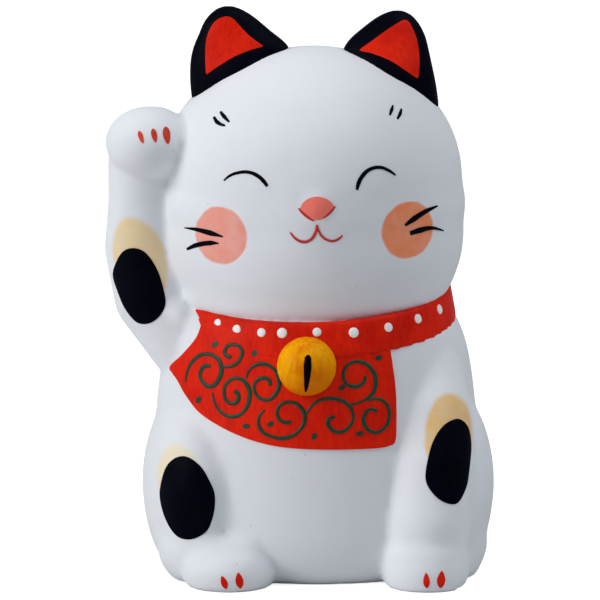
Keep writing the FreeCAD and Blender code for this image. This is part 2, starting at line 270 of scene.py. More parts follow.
def point_on(target, u, v, depth):
    """Where the line of sight through (u, v) meets the target, and the surface normal there."""
    matrix = plane_matrix()
    start = matrix @ on_plane(u, v, depth)
    along = matrix.to_3x3() @ Vector((0, 0, -1))
    hit, place, normal, _ = target.ray_cast(start, along)
    if not hit:
        raise RuntimeError("no surface behind the mark at (%.1f, %.1f)" % (u, v))
    return place, normal


def lay_on(obj, target, thickness):
    """Press a flat mark from the painter's plane on the target and give it thickness."""
    if obj.data.polygons[0].normal.z < 0:
        edit(obj)
        bpy.ops.mesh.flip_normals()
        leave_edit()
    obj.matrix_world = plane_matrix()
    bpy.context.view_layer.update()
    finish_modifier(
        obj, "SHRINKWRAP", target=target, wrap_method="PROJECT", use_project_z=True,
        use_negative_direction=True, use_positive_direction=False,
    )
    set_down(obj)
    finish_modifier(obj, "SOLIDIFY", thickness=thickness * MARK_BODY, offset=MARK_OFFSET)


def paint_shape(outline, target, depth, rings, thickness):
    """A closed patch: the outline is drawn in towards its middle ring by ring."""
    bpy.ops.mesh.primitive_circle_add(vertices=len(outline), radius=MM, fill_type="NOTHING")
    obj = bpy.context.object
    middle = Vector((0, 0, 0))
    for vertex, (u, v) in zip(obj.data.vertices, outline):
        vertex.co = on_plane(u, v, depth)
        middle += vertex.co / len(outline)
    edit(obj)
    for ring in range(rings, 1, -1):
        bpy.ops.mesh.extrude_edges_move()
        shrink = (ring - 1) / ring
        bpy.ops.transform.resize(value=(shrink,) * 3, center_override=middle)
    bpy.ops.mesh.extrude_edges_move()
    bpy.ops.mesh.merge(type="CENTER")
    leave_edit()
    lay_on(obj, target, thickness)
    return obj


def brush_profile():
    """A flat line, one millimetre to each side, that gives every stroke its width."""
    if "brush_profile" in bpy.data.objects:
        return bpy.data.objects["brush_profile"]
    data = bpy.data.curves.new("brush_profile", "CURVE")
    spline = data.splines.new("POLY")
    spline.points.add(2)
    for point, x in zip(spline.points, (-MM, 0.0, MM)):
        point.co = (x, 0, 0, 1)
    profile = bpy.data.objects.new("brush_profile", data)
    bpy.context.scene.collection.objects.link(profile)
    return profile


def brush_stroke(points, target, depth, thickness):
    """One stroke through (u, v, width) points."""
    bpy.ops.curve.primitive_bezier_curve_add()
    obj = bpy.context.object
    data = obj.data
    data.dimensions = "2D"
    data.fill_mode = "NONE"
    data.resolution_u = 6
    spline = data.splines[0]
    spline.bezier_points.add(len(points) - 2)
    for knot, (u, v, width) in zip(spline.bezier_points, points):
        knot.co = on_plane(u, v, depth)
        knot.radius = width / 2
        knot.handle_left_type = knot.handle_right_type = "AUTO"
    data.bevel_mode = "OBJECT"
    data.bevel_object = brush_profile()
    activate(obj)
    bpy.ops.object.convert(target="MESH")
    obj = bpy.context.object
    lay_on(obj, target, thickness)
    return obj


def smooth_outline(points, count):
    """A closed outline of even steps through the given corners, rounded between them."""
    dense = []
    total = len(points)
    for i in range(total):
        p0, p1, p2, p3 = (Vector(points[(i + k) % total]) for k in (-1, 0, 1, 2))
        for step in range(16):
            t = step / 16
            dense.append(
                0.5 * (2 * p1 + (p2 - p0) * t + (2 * p0 - 5 * p1 + 4 * p2 - p3) * t * t
                       + (3 * p1 - p0 - 3 * p2 + p3) * t ** 3)
            )
    lengths = [(dense[(i + 1) % len(dense)] - dense[i]).length for i in range(len(dense))]
    step = sum(lengths) / count
    outline, walked, index = [], 0.0, 0
    for number in range(count):
        while walked + lengths[index] < number * step and index < len(dense) - 1:
            walked += lengths[index]
            index += 1
        t = (number * step - walked) / lengths[index]
        outline.append(tuple(dense[index].lerp(dense[(index + 1) % len(dense)], min(t, 1.0))))
    return outline


def claw_outline(top, bottom, width, widest, count=28):
    """A claw stroke, a spindle that is widest at that share of its length."""
    top, bottom = Vector(top), Vector(bottom)
    along = bottom - top
    across = Vector((-along.y, along.x)).normalized()
    power = math.log(0.5) / math.log(widest)
    left, right = [], []
    half = count // 2
    for number in range(1, half):
        t = number / half
        bulge = math.sin(math.pi * t ** power) ** 0.65
        left.append(top + along * t + across * width / 2 * bulge)
        right.append(top + along * t - across * width / 2 * bulge)
    return [tuple(p) for p in [top] + left + [bottom] + right[::-1]]


# ------------------------------------------------------------------ materials


def rgba(colour):
    return tuple(colour) + (1.0,)


def darker(colour, share):
    return tuple(channel * share for channel in colour)


def feed(tree, socket, value):
    """Link a socket to another one, or set its value."""
    if isinstance(value, bpy.types.NodeSocket):
        tree.links.new(value, socket)
    else:
        socket.default_value = value


def node(tree, kind, **values):
    made = tree.nodes.new(kind)
    for name, value in values.items():
        if name in made.inputs:
            feed(tree, made.inputs[name], value)
        else:
            setattr(made, name, value)
    return made


def use_group(tree, group, **values):
    made = tree.nodes.new("ShaderNodeGroup")
    made.node_tree = group
    for name, value in values.items():
        feed(tree, made.inputs[name], value)
    return made


def math_node(tree, operation, first, second, clamp=False):
    made = node(tree, "ShaderNodeMath", operation=operation, use_clamp=clamp)
    feed(tree, made.inputs[0], first)
    feed(tree, made.inputs[1], second)
    return made.outputs[0]


def weighted(tree, first, share, second, other_share, clamp=False):
    """The sum of two values, each times its share."""
    return math_node(tree, "ADD", math_node(tree, "MULTIPLY", first, share),
                     math_node(tree, "MULTIPLY", second, other_share), clamp)


def vector_node(tree, operation, first, second):
    made = node(tree, "ShaderNodeVectorMath", operation=operation)
    feed(tree, made.inputs[0], first)
    feed(tree, made.inputs[1], second)
    return made.outputs[0]


def mix_colour(tree, factor, first, second):
    made = node(tree, "ShaderNodeMix", data_type="RGBA")
    for index, value in ((0, factor), (6, first), (7, second)):
        feed(tree, made.inputs[index], value)
    return made.outputs[2]


def noise(tree, vector, scale, detail=3.0, roughness=0.55, distortion=0.0):
    made = node(tree, "ShaderNodeTexNoise", Vector=vector, Scale=scale, Detail=detail,
                Roughness=roughness, Distortion=distortion)
    return made.outputs["Fac"]


def ramp(tree, value, low, high, to_low=0.0, to_high=1.0):
    """Carry a value softly from one range to another."""
    made = node(tree, "ShaderNodeMapRange", interpolation_type="SMOOTHSTEP", Value=value)
    for name, end in (("From Min", low), ("From Max", high), ("To Min", to_low),
                      ("To Max", to_high)):
        feed(tree, made.inputs[name], end)
    return made.outputs["Result"]


def shader_group(name, inputs, outputs, build):
    """A shader group, built once. Inputs are (name, type, default) and outputs (name, type);
    build takes the tree, the object's coordinates and the inputs, and returns the outputs."""
    if name in bpy.data.node_groups:
        return bpy.data.node_groups[name]
    tree = bpy.data.node_groups.new(name, "ShaderNodeTree")
    for socket_name, kind, default in inputs:
        socket = tree.interface.new_socket(socket_name, in_out="INPUT",
                                           socket_type="NodeSocket" + kind)
        if default is not None:
            socket.default_value = default
    for socket_name, kind in outputs:
        tree.interface.new_socket(socket_name, in_out="OUTPUT", socket_type="NodeSocket" + kind)
    start, end = tree.nodes.new("NodeGroupInput"), tree.nodes.new("NodeGroupOutput")
    place = node(tree, "ShaderNodeTexCoord").outputs["Object"]
    for (socket_name, _), value in zip(outputs, build(tree, place, start.outputs)):
        tree.links.new(value, end.inputs[socket_name])
    return tree


def brushed_paint_group():
    """Matte paint laid on with a brush: streaks, thick and thin places, a dry grain."""

    def build(tree, place, given):
        along = node(tree, "ShaderNodeMapping", Vector=place, Rotation=given["Lean"],
                     Scale=(1.0, 1.0, 0.22)).outputs["Vector"]
        streaks = noise(tree, along, 1300.0, 4.0, 0.6, 0.3)
        pools = noise(tree, place, 160.0, 3.0, 0.5, 0.4)
        grain = noise(tree, place, 5200.0, 2.0, 0.6)
        lines = math_node(tree, "MULTIPLY", ramp(tree, streaks, 0.38, 0.68), given["Streaks"])
        cover = math_node(tree, "ADD", math_node(tree, "MULTIPLY", lines, 0.5),
                          ramp(tree, pools, 0.35, 0.7, 0.0, 0.5), clamp=True)
        rough = weighted(tree, math_node(tree, "SUBTRACT", grain, 0.5), 0.16, lines, -0.06)
        return (mix_colour(tree, cover, given["Thin"], given["Thick"]),
                math_node(tree, "ADD", given["Sheen"], rough, clamp=True),
                weighted(tree, lines, 0.6, grain, 0.35))

    return shader_group(
        "Brushed Paint",
        [("Thin", "Color", None), ("Thick", "Color", None), ("Streaks", "Float", 1.0),
         ("Sheen", "Float", 0.5), ("Lean", "Vector", None)],
        [("Color", "Color"), ("Roughness", "Float"), ("Height", "Float")], build)


def bisque_group():
    """The ground of unglazed earthenware: pinholes, fine grit and soft sponge marks, with a mask
    for painted shade inside the pinholes.
    """

    def build(tree, place, given):
        cells = node(tree, "ShaderNodeTexVoronoi", Vector=place, Scale=330.0)
        pits = math_node(tree, "MULTIPLY",
                         ramp(tree, cells.outputs["Distance"], 0.03, 0.075, 1.0, 0.0),
                         ramp(tree, noise(tree, place, 210.0, 1.0), 0.60, 0.66))
        pits = math_node(tree, "MULTIPLY", pits, given["Pinholes"])
        grit = math_node(tree, "MULTIPLY", noise(tree, place, 3600.0, 3.0, 0.65), given["Grit"])
        height = weighted(tree, grit, 0.3, noise(tree, place, 420.0, 3.0, 0.5), 0.8)
        height = weighted(tree, height, 1.0, pits, -1.6)
        return pits, noise(tree, place, 55.0, 4.0, 0.6), height

    return shader_group("Bisque Ground", [("Pinholes", "Float", 1.0), ("Grit", "Float", 1.0)],
                        [("Holes", "Float"), ("Cloud", "Float"), ("Height", "Float")], build)


def spray_group():
    """A soft-edged round of sprayed colour about a point."""

    def build(tree, place, given):
        away = vector_node(tree, "SUBTRACT", place, given["Centre"])
        turned = node(tree, "ShaderNodeVectorRotate", rotation_type="Y_AXIS", Vector=away,
                      Angle=given["Lean"])
        scaled = vector_node(tree, "DIVIDE", turned.outputs[0], given["Reach"])
        length = node(tree, "ShaderNodeVectorMath", operation="LENGTH")
        tree.links.new(scaled, length.inputs[0])
        ragged = math_node(tree, "SUBTRACT", noise(tree, place, 260.0, 3.0, 0.5), 0.5)
        distance = weighted(tree, length.outputs["Value"], 1.0, ragged, 0.14)
        edge = ramp(tree, distance, math_node(tree, "SUBTRACT", 1.0, given["Softness"]),
                    math_node(tree, "ADD", 1.0, given["Softness"]), 1.0, 0.0)
        density = ramp(tree, noise(tree, place, 320.0, 3.0, 0.6), 0.3, 0.7, 0.86, 1.0)
        return (math_node(tree, "MULTIPLY", edge, density),)

    return shader_group(
        "Sprayed Spot",
        [("Centre", "Vector", None), ("Reach", "Vector", None), ("Lean", "Float", 0.0),
         ("Softness", "Float", 0.15)],
        [("Mask", "Float")], build)


def new_material(name, specular, bump):
    """A material with its Principled shader and a bump node ready for a height."""
    material = bpy.data.materials.new(name)
    material.use_nodes = True
    tree = material.node_tree
    shader = tree.nodes["Principled BSDF"]
    shader.inputs["Specular IOR Level"].default_value = specular
    relief = node(tree, "ShaderNodeBump", Strength=1.0, Distance=bump * MM)
    tree.links.new(relief.outputs["Normal"], shader.inputs["Normal"])
    return material, tree, shader, relief


def wire(tree, shader, relief, colour, roughness, height):
    tree.links.new(colour, shader.inputs["Base Color"])
    tree.links.new(roughness, shader.inputs["Roughness"])
    tree.links.new(height, relief.inputs["Height"])


def painted_material(name, thin, thick, sheen=0.55, streaks=1.0, lean=(0.0, 0.0, 0.0),
                     specular=0.35, bump=0.05):
    """Brushed matte paint between a thin and a thick colour."""
    if name in bpy.data.materials:
        return bpy.data.materials[name]
    material, tree, shader, relief = new_material(name, specular, bump)
    coat = use_group(tree, brushed_paint_group(), Thin=rgba(thin), Thick=rgba(thick),
                     Streaks=streaks, Sheen=sheen, Lean=lean)
    wire(tree, shader, relief, *coat.outputs)
    return material


def ground_material(name, tone, shade_tone, mix, rough, specular, bump, spots=(), **ground):
    """A sponged ground between two tones, with sprayed spots. The mix is how much of the second
    tone shows, rough is the range of roughness, and a spot is (colour, centre, reach, lean,
    softness, strength)."""
    material, tree, shader, relief = new_material(name, specular, bump)
    ground = use_group(tree, bisque_group(), **ground)
    cloud = ground.outputs["Cloud"]
    colour = mix_colour(tree, ramp(tree, cloud, 0.3, 0.7, 0.0, mix), rgba(tone), rgba(shade_tone))
    for spot_colour, centre, reach, lean, softness, strength in spots:
        spot = use_group(tree, spray_group(), Centre=centre, Reach=reach, Lean=lean,
                         Softness=softness)
        mask = math_node(tree, "MULTIPLY", spot.outputs["Mask"], strength)
        colour = mix_colour(tree, mask, colour, rgba(spot_colour))
    # painted shade: the pinholes are darkened grey as if in shadow inside them
    pit_shade = math_node(tree, "MULTIPLY", ground.outputs["Holes"], 0.45)
    colour = mix_colour(tree, pit_shade, colour, (0.34, 0.35, 0.38, 1.0))
    wire(tree, shader, relief, colour, ramp(tree, cloud, 0.2, 0.8, *rough),
         ground.outputs["Height"])
    return material


def white_material(spots):
    """The white ground coat with the sprayed ochre and blush; the blush on the cheek away from the
    light is a copy in painted shade.
    """
    white = paint().white
    return ground_material("white_ground_coat", white, darker(white, 0.955), 0.55, (0.62, 0.74),
                           0.28, 0.06, spots)


def black_material():
    return painted_material("black_satin_paint", paint().black, darker(paint().black, 0.35),
                            sheen=0.55, streaks=0.8, specular=0.03, bump=0.04)


def red_material():
    return painted_material("red_matte_paint", paint().red, paint().deep_red, sheen=0.55,
                            streaks=0.7, lean=(0.0, 0.5, 0.0), specular=0.08, bump=0.05)


# ------------------------------------------------------------------ where the marks go

# height of the collar's middle line on the axis, and how it rises along x and y
COLLAR_MIDDLE = 57.1
COLLAR_RISE = Vector((0.035, 0.15, 0.0))
COLLAR_RADIUS = 28.0
COLLAR_SUNK = 0.6
COLLAR_PROUD = 0.25
# the chin is drawn down round this height above the collar's middle line, in front only
CHIN_HEIGHT, CHIN_REACH, CHIN_DROP = 4.1, 3.6, 1.5
CHIN_BACK, CHIN_FADE = -4.0, 10.0
SPRAY_DEPTH = 12.0

# clay pads worked into the casting: middle and half sizes
PADS = [
    ((-24.3, -15.5, 6.5), (9.2, 12.0, 8.8)),
    ((27.8, -11.0, 6.5), (8.5, 11.0, 8.4)),
    ((22.9, -25.0, 5.4), (9.0, 9.4, 8.2)),
    ((-22.8, -14.5, 8.0), (7.4, 12.5, 9.5)),
    ((-0.5, -1.8, 77.5), (32.2, 28.2, 19.0)),
]
# places pinched or pressed before the clay dries: place, offset, reach
PINCHES = [
    ((-29.5, -6.0, 96.0), (0.0, 0.0, 0.4), 7.0),
    ((-26.5, -2.0, 97.5), (-0.8, 0.0, 0.2), 10.0),
    ((-27.0, -12.0, 55.5), (-0.2, -1.7, 0.0), 5.5),
]
# places on the muzzle that are pushed out by a setting, and how wide
SWELLS = [("snout", (0.3, 73.0), 14.0), ("nose", (0.3, 76.4), 4.6)]
# boxes inside which the clay is rubbed smooth: lowest and highest corner
RUBBED = [
    ((-22.0, -60.0, 62.0), (60.0, 60.0, 100.0)),
    ((-60.0, 8.0, 62.0), (60.0, 60.0, 100.0)),
    ((29.0, -60.0, -10.0), (60.0, 60.0, 17.0)),
    ((-60.0, -60.0, -10.0), (-29.0, 60.0, 17.0)),
    ((-29.0, -60.0, 7.0), (-12.0, -12.0, 28.0)),
]
PATCHES = [
    # outline of the black and its depth
    ([(-38.9, 67.9), (-36.8, 67.4), (-35.0, 65.6), (-33.5, 62.9), (-32.5, 59.8), (-31.9, 56.4),
      (-32.7, 54.1), (-34.4, 52.4), (-36.4, 51.8), (-38.4, 52.4), (-40.6, 55.1), (-42.1, 58.5),
      (-43.2, 62.2), (-42.3, 65.2), (-40.8, 67.3)], 12.0),
    ([(-28.1, 23.8), (-26.3, 23.2), (-24.2, 21.4), (-22.7, 18.9), (-21.6, 16.3), (-21.4, 14.0),
      (-21.8, 11.2), (-22.9, 8.3), (-24.7, 6.8), (-26.8, 6.1), (-29.1, 6.5), (-30.9, 8.3),
      (-32.4, 11.4), (-33.2, 15.0), (-32.9, 18.1), (-31.8, 21.4), (-30.1, 23.2)], 20.0),
    ([(29.9, 31.6), (31.8, 30.7), (32.8, 28.7), (33.1, 25.3), (32.6, 20.6), (32.0, 17.2),
      (30.3, 14.0), (28.4, 13.6), (26.0, 14.7), (24.0, 16.9), (23.2, 19.3), (23.7, 23.0),
      (24.9, 27.0), (27.1, 30.2)], 26.0),
]
SPRAYS = [
    # middle, half sizes, depth, lean, softness, strength, colour
    ((-37.4, 65.4), (5.6, 9.0), 12.0, -18.0, 0.10, 0.95, "ochre"),
    ((-29.3, 18.7), (4.9, 7.2), 20.0, -6.0, 0.16, 0.8, "pale_ochre"),
    ((28.6, 28.2), (5.3, 8.7), 26.0, 4.0, 0.10, 1.0, "deep_ochre"),
    ((-20.2, 70.6), (5.6, 6.0), 24.0, 0.0, 0.045, 1.0, "blush"),
    # the second cheek's blush is the shaded copy of the first, painted shade
    ((19.5, 71.7), (5.7, 5.9), 24.0, 0.0, 0.045, 1.0, "shaded_blush"),
]
EYES = [
    [(-19.5, 82.2, 0.3), (-18.4, 83.1, 0.5), (-16.5, 83.8, 0.62), (-14.4, 83.9, 0.7),
     (-12.5, 83.2, 0.78), (-11.1, 82.0, 0.8), (-10.3, 80.9, 0.6)],
    [(8.6, 80.1, 0.5), (8.9, 81.4, 0.85), (9.8, 83.1, 0.85), (11.4, 84.5, 0.75),
     (13.5, 84.9, 0.68), (15.3, 84.3, 0.6), (16.8, 83.3, 0.35)],
]
BROWS = [
    [(-20.2, 96.7, 0.5), (-19.4, 95.6, 0.85), (-18.3, 94.4, 0.4)],
    [(-21.6, 95.6, 0.5), (-20.8, 94.4, 0.85), (-19.2, 93.6, 0.4)],
    [(16.2, 98.0, 0.3), (15.9, 97.0, 0.7), (15.5, 95.8, 0.4)],
    [(18.0, 97.3, 0.35), (17.7, 96.2, 0.7), (17.1, 95.0, 0.4)],
]
WHISKERS = [
    [(-28.0, 72.3, 0.2), (-25.4, 71.9, 0.75), (-22.4, 71.1, 1.1), (-19.7, 70.3, 0.25)],
    [(-27.5, 67.7, 0.5), (-25.6, 68.5, 0.95), (-22.4, 69.0, 1.0), (-20.6, 68.9, 0.2)],
    [(18.8, 72.7, 0.5), (20.6, 74.0, 1.1), (23.4, 75.8, 0.9), (25.8, 76.9, 0.3)],
    [(19.9, 71.0, 0.8), (22.0, 71.7, 1.15), (24.6, 72.2, 0.75), (27.2, 71.7, 0.25)],
]
NOSE = [(-3.3, 76.1), (-2.6, 77.6), (-0.8, 78.6), (1.2, 78.6), (3.0, 77.7), (3.7, 76.4),
        (2.7, 75.1), (1.2, 74.0), (0.1, 73.8), (-1.0, 74.1), (-2.3, 75.1)]
LIPS = [
    [(-3.7, 76.3, 0.3), (-2.9, 75.4, 0.55), (-1.6, 74.3, 0.55), (-0.4, 73.6, 0.25)],
    [(4.0, 76.7, 0.3), (3.3, 75.8, 0.5), (2.3, 74.8, 0.45), (1.4, 74.2, 0.2)],
    [(0.2, 72.8, 0.45), (0.1, 71.9, 0.6), (-0.4, 70.6, 0.65), (-1.3, 69.6, 0.6),
     (-2.7, 69.2, 0.6), (-4.2, 69.8, 0.5), (-5.5, 71.2, 0.3)],
    [(0.3, 72.2, 0.4), (0.7, 71.2, 0.5), (1.4, 70.2, 0.5), (2.4, 69.6, 0.5),
     (3.6, 69.4, 0.5), (4.7, 69.8, 0.45), (5.6, 70.6, 0.3)],
]
CLAWS = [
    # top, bottom, width, depth, where it is widest
    [((-37.4, 92.6), (-36.5, 89.9), 1.0, 17.0, 0.42),
     ((-34.5, 93.1), (-33.8, 90.1), 1.2, 17.0, 0.42),
     ((-31.8, 93.5), (-31.2, 89.7), 1.5, 15.0, 0.42)],
    [((-20.1, -1.9), (-19.1, -4.8), 1.35, 33.0, 0.56),
     ((-16.6, -1.2), (-16.1, -4.7), 1.65, 33.0, 0.56),
     ((23.5, -1.3), (23.7, -4.7), 1.4, 34.0, 0.56),
     ((26.9, -0.9), (26.6, -4.7), 1.75, 34.0, 0.56)],
]
EARS = [
    # name, outline of the red, and a place low on the front that is drawn down over the head
    ("right_ear", [(-19.0, 116.6), (-17.4, 116.0), (-15.9, 114.4), (-14.1, 112.5), (-12.0, 110.9),
                   (-11.1, 110.2), (-12.2, 109.9), (-14.1, 109.3), (-17.2, 108.0), (-20.6, 106.0),
                   (-22.4, 104.8), (-23.1, 104.4), (-23.2, 105.4), (-23.3, 107.6), (-23.2, 111.1),
                   (-22.5, 113.6), (-21.2, 115.6)], (-16.0, 106.9)),
    ("left_ear", [(18.8, 115.9), (20.0, 114.6), (21.2, 111.5), (21.7, 107.6), (21.5, 104.3),
                  (21.3, 103.4), (20.6, 103.8), (18.8, 105.0), (15.7, 107.0), (12.2, 108.5),
                  (9.9, 109.1), (9.1, 109.4), (9.8, 110.0), (11.4, 111.1), (14.5, 113.4),
                  (16.9, 115.0)], (15.7, 105.8)),
]
# offset and reach of the hollow and of the root
EAR_HOLLOW = ((0.0, 0.5, 0.0), 6.5)
EAR_ROOT = ((0.0, -1.2, -0.8), 7.5)
BIB = [(-24.2, 53.2), (-24.6, 51.2), (-25.7, 48.6), (-28.6, 45.2), (-31.4, 42.6), (-30.9, 41.2),
       (-29.7, 39.6), (-27.7, 36.2), (-24.4, 32.4), (-18.4, 28.9), (-12.1, 26.6), (-5.9, 25.5),
       (2.5, 25.1), (12.2, 25.3), (15.8, 25.9), (16.9, 27.0), (17.1, 31.8), (16.9, 38.1),
       (16.2, 43.5), (15.4, 48.4), (14.6, 50.0), (0.0, 50.0), (-12.0, 50.4)]
SLIT = [(-1.6, 45.2, 0.5), (-1.7, 44.6, 1.3), (-1.8, 42.8, 1.6), (-1.9, 40.6, 1.3),
        (-2.1, 38.4, 0.8), (-2.2, 37.4, 0.3)]
COLLAR_DOTS = [(-21.0, 51.9), (-16.9, 50.6), (-11.6, 50.0), (-7.2, 49.9), (0.2, 50.1),
               (8.0, 50.0), (15.4, 51.1), (21.8, 52.9), (26.6, 54.9)]
SCROLLS = [
    [(-28.1, 39.2), (-27.6, 41.6), (-26.2, 44.0), (-23.9, 45.3), (-21.6, 44.8), (-20.3, 43.0),
     (-20.6, 40.3), (-22.5, 38.4), (-24.3, 39.4), (-24.7, 41.5), (-23.6, 42.8), (-22.6, 42.7)],
    [(-20.2, 42.5), (-17.8, 42.9), (-16.1, 44.4), (-15.9, 46.4), (-17.4, 47.4), (-19.1, 46.8),
     (-19.4, 45.3), (-18.1, 44.6)],
    [(-14.9, 40.2), (-14.0, 42.2), (-11.7, 43.3), (-9.3, 42.5), (-7.9, 40.2), (-8.6, 36.9),
     (-10.7, 35.6), (-12.8, 36.9), (-13.0, 39.2), (-11.3, 40.3), (-10.0, 39.8), (-9.7, 38.7)],
    [(-22.1, 37.1), (-21.6, 34.9), (-20.1, 32.8), (-17.8, 32.0), (-15.4, 33.2), (-14.2, 35.9),
     (-14.7, 38.8), (-16.7, 40.2), (-18.9, 39.3), (-19.6, 37.0), (-18.5, 34.9), (-16.9, 35.2),
     (-16.6, 36.8), (-17.4, 37.6)],
    [(-11.0, 33.5), (-12.2, 31.8), (-11.7, 29.2), (-9.3, 27.8), (-6.3, 27.6), (-3.6, 29.1),
     (-2.4, 31.5), (-3.4, 34.2), (-5.6, 35.2), (-7.6, 34.5), (-8.3, 32.8), (-7.3, 31.1),
     (-5.4, 30.8)],
    [(-2.3, 32.4), (-0.5, 34.8), (2.2, 35.9), (4.9, 35.7), (6.9, 34.5), (7.9, 32.1), (6.9, 29.8),
     (4.9, 28.8), (2.9, 29.8), (2.6, 31.4), (4.0, 32.2)],
    [(7.2, 34.6), (9.6, 35.3), (11.8, 36.7), (12.7, 39.3), (11.8, 42.2), (9.6, 43.7), (7.2, 43.4),
     (5.9, 41.6), (6.3, 39.3), (8.2, 38.5), (10.1, 39.3), (10.5, 40.8)],
    [(11.0, 35.5), (13.3, 35.8), (15.0, 34.7), (15.6, 32.1), (14.5, 29.5), (12.3, 28.7),
     (10.5, 30.0), (10.2, 32.1), (11.4, 33.6), (13.0, 33.3)],
]
LEAVES = [(-21.6, 47.4), (-13.1, 45.6), (13.3, 44.6), (5.5, 38.3), (-25.2, 35.5), (-14.9, 30.0),
          (-9.7, 30.5), (-0.4, 27.9), (9.3, 28.5)]


# ------------------------------------------------------------------ the studio

# the sky's colour, its light, and how much more of it and of the floor is seen directly
SKY = (0.80, 0.87, 1.0, 1.0)
SKY_GLOW, SKY_SEEN, FLOOR_SEEN = 0.2, 0.9, 0.8
# width of the floor and height of its backdrop, and the curve between them, in metres
FLOOR_WIDTH, BACKDROP, SWEEP = 4.0, 2.5, 1.2
LAMPS = [
    # name, place, width, power, colour
    ("key_light", (-1.1, -0.45, 0.66), 0.8, 11.0, (1.0, 1.0, 0.98)),
    ("top_light", (0.25, -0.15, 1.25), 0.9, 5.6, (1.0, 1.0, 1.0)),
    ("side_light", (1.1, 0.0, 1.1), 0.8, 4.2, (0.95, 0.97, 1.0)),
]


# ------------------------------------------------------------------ operators


class CAT_OT_cast(bpy.types.Operator):
    """Cast body, head and raised arm in one, sponge the joins soft and spray the ground colours"""

    bl_idname = "cat.cast"
    bl_label = "Cast the figure"

    def execute(self, context):
        settings = clay()
        copies = [copy_node(name, settings.lute)
                  for name in ("body_shell", "head_shell", "raised_arm")]
        copies.append(copy_node("collar_band", -COLLAR_SUNK * MM))
        copies += [self.pad(*pad) for pad in PADS]
        casting = join(copies, "white_casting")
        recast(casting, settings.grid, settings.soften)
        self.rub_smooth(casting)
        self.draw_chin_down(casting)
        for place, offset, reach in PINCHES:
            push(casting, Vector(place) * MM, Vector(offset) * MM, reach * MM)
        for vertex in casting.data.vertices:
            vertex.co.z = max(vertex.co.z, 0.0)
        for name, (u, v), reach in SWELLS:
            place, _ = point_on(casting, u, v, DEPTHS["muzzle"])
            push(casting, place, Vector((0, -getattr(settings, name), 0)), reach * MM)
        shade(casting)
        spots = []
        for (u, v), (half_u, half_v), depth, lean, softness, strength, colour in SPRAYS:
            centre, _ = point_on(casting, u, v, depth)
            reach = (half_u * MM, SPRAY_DEPTH * MM, half_v * MM)
            spots.append((getattr(paint(), colour), centre, reach, -math.radians(lean), softness,
                          strength))
        hand_over(casting, white_material(spots), "body_shell", "head_shell", "raised_arm")
        return {"FINISHED"}

    def rub_smooth(self, figure):
        """Rub down the rings round the head, the haunch and the dents above the feet."""
        rubbed = figure.vertex_groups.new(name="rubbed")
        for vertex in figure.data.vertices:
            place = vertex.co / MM
            if any(all(low[i] < place[i] < high[i] for i in range(3)) for low, high in RUBBED):
                rubbed.add([vertex.index], 1.0, "REPLACE")
        finish_modifier(figure, "SMOOTH", factor=0.5, iterations=RUB_PASSES,
                        vertex_group="rubbed")
        figure.vertex_groups.clear()

    def draw_chin_down(self, figure):
        """Draw the underside of the chin down over the top edge of the collar."""
        for vertex in figure.data.vertices:
            x, y, z = vertex.co / MM
            height = z - COLLAR_MIDDLE - COLLAR_RISE.dot((x, y, 0.0))
            away = abs(height - CHIN_HEIGHT) / CHIN_REACH
            if away < 1.0:
                forward = min(max((CHIN_BACK - y) / CHIN_FADE, 0.0), 1.0)
                vertex.co.z -= CHIN_DROP * MM * forward * fade(away)

    def pad(self, place, half_sizes):
        """A ball of clay squeezed into a soft pad."""
        bpy.ops.mesh.primitive_uv_sphere_add(segments=48, ring_count=24, radius=MM)
        ball = bpy.context.object
        ball.scale = half_sizes
        ball.location = Vector(place) * MM
        set_down(ball)
        return ball


def casting():
    return bpy.data.objects["white_casting"]


class CAT_OT_ears(bpy.types.Operator):
    """Model both ears, black outside with a red hollow inside"""

    bl_idname = "cat.ears"
    bl_label = "Model the ears"

    def execute(self, context):
        for name, outline, root in EARS:
            ear = copy_node(name, clay().lute)
            recast(ear, clay().ear_grid, EAR_PASSES)
            middle = Vector((0.0, 0.0))
            for point in outline:
                middle += Vector(point) / len(outline)
            for (u, v), (offset, reach) in ((middle, EAR_HOLLOW), (root, EAR_ROOT)):
                place, _ = point_on(ear, u, v, DEPTHS["ear"])
                push(ear, place, Vector(offset) * MM, reach * MM)
            shade(ear)
            ear.name = name + "_painted"
            hand_over(ear, black_material(), name)
            red = paint_shape(smooth_outline(outline, 56), ear, DEPTHS["ear"], 12, trim().paint)
            red.name = name + "_inside"
            shade(red, SOFT_EDGE)
            hand_over(red, red_material())
        return {"FINISHED"}


class CAT_OT_tail(bpy.types.Operator):
    """Model the short curled tail"""

    bl_idname = "cat.tail"
    bl_label = "Model the tail"

    def execute(self, context):
        tail = copy_node("tail", clay().lute)
        recast(tail, clay().ear_grid, TAIL_PASSES)
        shade(tail)
        tail.name = "tail_painted"
        hand_over(tail, black_material(), "tail")
        return {"FINISHED"}


